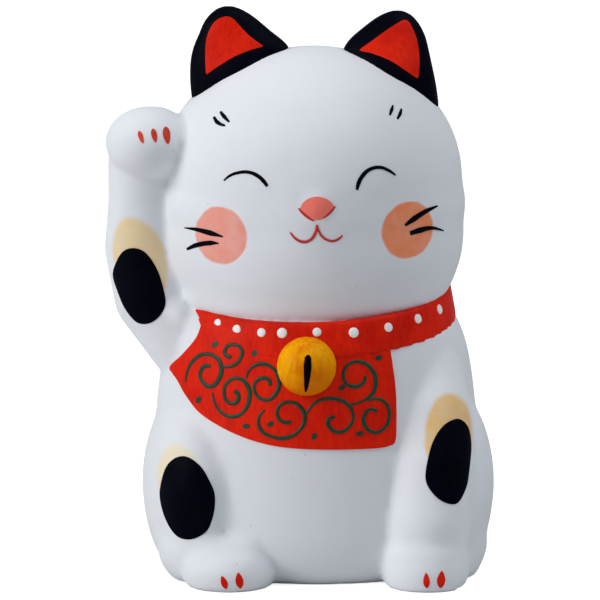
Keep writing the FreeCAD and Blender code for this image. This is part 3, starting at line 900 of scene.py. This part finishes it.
class CAT_OT_collar(bpy.types.Operator):
    """Model the raised collar and dab the white dots round it"""

    bl_idname = "cat.collar"
    bl_label = "Model the collar"

    def execute(self, context):
        collar = copy_node("collar_band", COLLAR_PROUD * MM)
        recast(collar, clay().ear_grid, COLLAR_PASSES)
        shade(collar)
        collar.name = "collar_painted"
        hand_over(collar, red_material(), "collar_band")
        places = [self.place_in_front(collar, u, v) for u, v in COLLAR_DOTS]
        places += self.places_behind(collar)
        dots = join([self.dab(place, normal, trim().dot * (1.0 + 0.08 * math.sin(2.7 * number)))
                     for number, (place, normal) in enumerate(places)], "collar_dots")
        hand_over(dots, painted_material("white_dot_paint", paint().dots,
                                         darker(paint().dots, 0.93), sheen=0.45))
        return {"FINISHED"}

    def place_in_front(self, collar, u, v):
        """A place for a dot that nothing hides: on the collar or, low down, on the bib."""
        place, normal = point_on(collar, u, v, DEPTHS["collar"])
        chest, _ = point_on(casting(), u, v, DEPTHS["collar"])
        if v < BIB[0][1]:
            chest.y -= trim().bib
        place.y = min(place.y, chest.y)
        return place, normal

    def places_behind(self, collar):
        """Evenly spaced places on the side of the collar that is away from the bell."""
        low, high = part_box("collar_band")
        middle = Vector(((low[0] + high[0]) / 2, (low[1] + high[1]) / 2, COLLAR_MIDDLE * MM))
        places = []
        count = trim().dot_count
        for number in range(count):
            angle = math.radians(12 + 180 * number / (count - 1))
            outward = Vector((math.cos(angle), math.sin(angle), 0))
            height = COLLAR_RISE.dot(outward) * COLLAR_RADIUS * MM
            start = middle + outward * PLANE_STANDOFF * MM + Vector((0, 0, height))
            hit, place, normal, _ = collar.ray_cast(start, -outward)
            if not hit:
                raise RuntimeError("a dot misses the collar")
            places.append((place, normal))
        return places

    def dab(self, place, normal, radius):
        """One domed dot of thick paint, flat against the collar."""
        bpy.ops.mesh.primitive_uv_sphere_add(segments=20, ring_count=10, radius=radius)
        dot = bpy.context.object
        dot.scale = (1.0, 1.0, 0.26)
        dot.rotation_euler = normal.to_track_quat("Z", "Y").to_euler()
        dot.location = place
        set_down(dot)
        bpy.ops.object.shade_smooth()
        return dot


class CAT_OT_bib(bpy.types.Operator):
    """Press the bib on the chest and paint its scrolls"""

    bl_idname = "cat.bib"
    bl_label = "Model the bib"

    def execute(self, context):
        bib = paint_shape(smooth_outline(BIB, 190), casting(), DEPTHS["bib"], 34, trim().bib)
        bib.name = "bib_painted"
        finish_modifier(bib, "BEVEL", width=0.22 * MM, segments=3, limit_method="ANGLE",
                        angle_limit=math.radians(50))
        shade(bib, math.radians(60))
        hand_over(bib, red_material(), "bib")
        lines = [self.scroll(bib, points) for points in SCROLLS]
        lines += [self.leaf(bib, u, v, number) for number, (u, v) in enumerate(LEAVES)]
        scrolls = join(lines, "bib_scrolls")
        hand_over(scrolls, painted_material("green_scroll_paint", paint().green,
                                            darker(paint().green, 0.4), sheen=0.5, streaks=0.8))
        return {"FINISHED"}

    def scroll(self, bib, points):
        """One loaded brush line that starts thin and swells."""
        widest = trim().scroll / MM
        last = len(points) - 1
        stroke = []
        for number, (u, v) in enumerate(points):
            t = number / last
            width = widest * (0.45 + 0.55 * min(1.0, t / 0.2)) * (0.9 + 0.14 * math.sin(7 * t + u))
            stroke.append((u, v, width))
        return brush_stroke(stroke, bib, DEPTHS["scroll"], trim().paint)

    def leaf(self, bib, u, v, number):
        """A small leaf-shaped dab beside a scroll."""
        turn = 0.6 + 0.5 * math.sin(2.1 * number)
        outline = []
        for step in range(16):
            angle = 2 * math.pi * step / 16
            along, across = 0.8 * math.cos(angle), 0.55 * math.sin(angle)
            outline.append((u + along * math.cos(turn) - across * math.sin(turn),
                            v + along * math.sin(turn) + across * math.cos(turn)))
        return paint_shape(outline, bib, DEPTHS["scroll"], 2, trim().paint)


class CAT_OT_bell(bpy.types.Operator):
    """Paint the clay bell yellow, with its black slit"""

    bl_idname = "cat.bell"
    bl_label = "Paint the bell"

    def execute(self, context):
        bell = copy_node("bell")
        bell.name = "bell_painted"
        shade(bell, SOFT_EDGE)
        yellow = painted_material("yellow_matte_paint", paint().yellow, paint().amber_and_shade, sheen=0.45,
                                  streaks=0.9, lean=(0.0, 0.3, 0.0), specular=0.04)
        self.paint_shade_below(yellow)
        hand_over(bell, yellow, "bell")
        slit = brush_stroke(SLIT, bell, DEPTHS["bell"], trim().paint)
        slit.name = "bell_slit"
        hand_over(slit, black_material())
        return {"FINISHED"}

    def paint_shade_below(self, material):
        """Painted shade: mix amber into the yellow on the low side that is away from the light."""
        tree = material.node_tree
        base = tree.nodes["Principled BSDF"].inputs["Base Color"]
        low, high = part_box("bell")
        centre = (low[0] * 0.3 + high[0] * 0.7, low[1], low[2] + 1.5 * MM)
        spot = use_group(tree, spray_group(), Centre=centre, Softness=0.8,
                         Reach=(7 * MM, SPRAY_DEPTH * MM, 7 * MM))
        # painted shade: amber laid over the yellow on the bell's lower side, away from the light
        mask = math_node(tree, "MULTIPLY", spot.outputs["Mask"], 0.75)
        tree.links.new(mix_colour(tree, mask, base.links[0].from_socket, rgba(paint().amber_and_shade)), base)


class CAT_OT_face(bpy.types.Operator):
    """Paint eyes, brows, whiskers, nose and mouth"""

    bl_idname = "cat.face"
    bl_label = "Paint the face"

    def execute(self, context):
        thick = trim().paint
        lines = [brush_stroke(points, casting(), DEPTHS[name], thick)
                 for name, strokes in (("eye", EYES), ("brow", BROWS), ("whisker", WHISKERS))
                 for points in strokes]
        lines = join(lines, "face_lines")
        hand_over(lines, black_material())
        nose = paint_shape(smooth_outline(NOSE, 44), casting(), DEPTHS["nose"], 6, thick)
        nose.name = "nose_painted"
        shade(nose, SOFT_EDGE)
        hand_over(nose, painted_material("nose_paint", paint().nose, darker(paint().nose, 0.86),
                                         sheen=0.5, streaks=0.2, specular=0.15))
        lips = join([brush_stroke(line, casting(), DEPTHS["lips"], thick * 1.3) for line in LIPS],
                    "mouth_painted")
        hand_over(lips, painted_material("lip_paint", paint().lips, darker(paint().lips, 0.7),
                                         sheen=0.5))
        return {"FINISHED"}


class CAT_OT_coat(bpy.types.Operator):
    """Paint the black patches of the coat and the red claws"""

    bl_idname = "cat.coat"
    bl_label = "Paint the coat"

    def execute(self, context):
        thick = trim().paint
        patches = join([paint_shape(smooth_outline(outline, 72), casting(), depth, 14, thick)
                        for outline, depth in PATCHES], "coat_patches")
        shade(patches, SOFT_EDGE)
        hand_over(patches, black_material())
        claw_paint = painted_material("claw_paint", paint().claw, darker(paint().claw, 0.6),
                                      sheen=0.5, specular=0.1)
        for name, material, strokes in zip(("claws_painted", "foot_claws_painted"),
                                           (claw_paint, red_material()), CLAWS):
            claws = join([paint_shape(claw_outline(top, bottom, width, widest), casting(), depth,
                                      3, thick)
                          for top, bottom, width, depth, widest in strokes], name)
            hand_over(claws, material)
        return {"FINISHED"}


class CAT_OT_stopper(bpy.types.Operator):
    """Give the soft stopper its moulded plastic"""

    bl_idname = "cat.stopper"
    bl_label = "Mould the stopper"

    def execute(self, context):
        tone = paint().stopper
        material = ground_material("soft_white_plastic", tone, darker(tone, 0.9), 1.0, (0.36, 0.5),
                                   0.4, 0.03, Pinholes=0.0, Grit=0.6)
        shader = material.node_tree.nodes["Principled BSDF"]
        shader.inputs["Subsurface Weight"].default_value = 0.25
        shader.inputs["Subsurface Radius"].default_value = (2 * MM, 2 * MM, 1.5 * MM)
        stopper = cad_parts["base_stopper"]
        stopper.data.materials.clear()
        stopper.data.materials.append(material)
        return {"FINISHED"}


class CAT_OT_stage(bpy.types.Operator):
    """Set the pale floor, the soft lights and the camera"""

    bl_idname = "cat.stage"
    bl_label = "Set the stage"

    def execute(self, context):
        bpy.data.objects.remove(brush_profile())
        floor = self.sweep()
        material, tree, shader, _ = new_material("pale_floor", 0.2, 0.01)
        shader.inputs["Base Color"].default_value = (0.7, 0.7, 0.7, 1.0)
        shader.inputs["Roughness"].default_value = 0.9
        shader.inputs["Emission Color"].default_value = (1.0, 1.0, 1.0, 1.0)
        seen = node(tree, "ShaderNodeLightPath").outputs["Is Camera Ray"]
        glow = math_node(tree, "MULTIPLY", seen, FLOOR_SEEN)
        tree.links.new(glow, shader.inputs["Emission Strength"])
        behind = node(tree, "ShaderNodeNewGeometry").outputs["Backfacing"]
        tree.links.new(math_node(tree, "SUBTRACT", 1.0, behind), shader.inputs["Alpha"])
        floor.data.materials.append(material)
        world = context.scene.world or bpy.data.worlds.new("studio")
        context.scene.world = world
        world.use_nodes = True
        background = world.node_tree.nodes["Background"]
        sky = world.node_tree
        background.inputs["Color"].default_value = SKY
        seen = node(sky, "ShaderNodeLightPath").outputs["Is Camera Ray"]
        glow = math_node(sky, "ADD", math_node(sky, "MULTIPLY", seen, SKY_SEEN), SKY_GLOW)
        sky.links.new(glow, background.inputs["Strength"])
        for lamp in LAMPS:
            self.lamp(*lamp)
        self.camera(context)
        context.scene.view_settings.view_transform = "Standard"
        return {"FINISHED"}

    def sweep(self):
        """A floor that curves up into a backdrop."""
        bpy.ops.mesh.primitive_plane_add(size=FLOOR_WIDTH, location=(0, 0, 0))
        floor = bpy.context.object
        floor.name = "floor"
        edit(floor)
        bpy.ops.mesh.select_mode(type="EDGE")
        bpy.ops.mesh.select_all(action="DESELECT")
        leave_edit()
        for edge in floor.data.edges:
            edge.select = all(floor.data.vertices[i].co.y > 0.0 for i in edge.vertices)
        bpy.ops.object.mode_set(mode="EDIT")
        bpy.ops.mesh.extrude_edges_move(TRANSFORM_OT_translate={"value": (0, 0, BACKDROP)})
        bpy.ops.mesh.select_mode(type="VERT")
        leave_edit()
        finish_modifier(floor, "BEVEL", width=SWEEP, segments=24, limit_method="ANGLE")
        shade(floor)
        return floor

    def lamp(self, name, place, size, power, colour):
        data = bpy.data.lights.new(name, "AREA")
        data.shape = "DISK"
        data.size = size
        data.energy = power
        data.color = colour
        lamp = bpy.data.objects.new(name, data)
        bpy.context.scene.collection.objects.link(lamp)
        lamp.location = place
        towards = Vector((0, 0, 0.06)) - Vector(place)
        lamp.rotation_euler = towards.to_track_quat("-Z", "Y").to_euler()

    def camera(self, context):
        data = bpy.data.cameras.new("camera")
        camera = bpy.data.objects.new("camera", data)
        context.scene.collection.objects.link(camera)
        height = VIEW_CENTRE[1] / math.cos(LEAN) - GROUND_LINE
        target = Vector((VIEW_CENTRE[0], 0, height)) * MM
        back = Vector((0, -math.cos(LEAN), math.sin(LEAN)))
        camera.location = target + back * VIEW_DISTANCE * MM
        camera.rotation_euler = (-back).to_track_quat("-Z", "Y").to_euler()
        data.sensor_width = 36.0
        data.lens = 36.0 * VIEW_DISTANCE / VIEW_WIDTH
        data.clip_start, data.clip_end = 0.05, 20.0
        context.scene.camera = camera


class CAT_PT_panel(bpy.types.Panel):
    """Lists the settings and the steps that make the cat"""

    bl_label = "Beckoning Cat"
    bl_idname = "CAT_PT_panel"
    bl_space_type = "VIEW_3D"
    bl_region_type = "UI"
    bl_category = "Beckoning Cat"

    def draw(self, context):
        for settings in (clay(), trim(), paint()):
            box = self.layout.box()
            for name in settings.bl_rna.properties.keys():
                if name not in ("rna_type", "name"):
                    box.prop(settings, name)
        for operator in STEPS:
            self.layout.operator(operator.bl_idname)


STEPS = (
    CAT_OT_cast, CAT_OT_ears, CAT_OT_tail, CAT_OT_collar, CAT_OT_bib, CAT_OT_bell,
    CAT_OT_face, CAT_OT_coat, CAT_OT_stopper, CAT_OT_stage,
)
GROUPS = (("cat_clay", ClaySettings), ("cat_trim", TrimSettings), ("cat_paint", PaintSettings))


def register():
    for name, group in GROUPS:
        bpy.utils.register_class(group)
        setattr(bpy.types.Scene, name, PointerProperty(type=group))
    for step in STEPS:
        bpy.utils.register_class(step)
    bpy.utils.register_class(CAT_PT_panel)


def unregister():
    bpy.utils.unregister_class(CAT_PT_panel)
    for step in reversed(STEPS):
        bpy.utils.unregister_class(step)
    for name, group in reversed(GROUPS):
        delattr(bpy.types.Scene, name)
        bpy.utils.unregister_class(group)


def main():
    register()
    for step in STEPS:
        group, name = step.bl_idname.split(".")
        getattr(getattr(bpy.ops, group), name)()


if __name__ == "__main__":
    main()
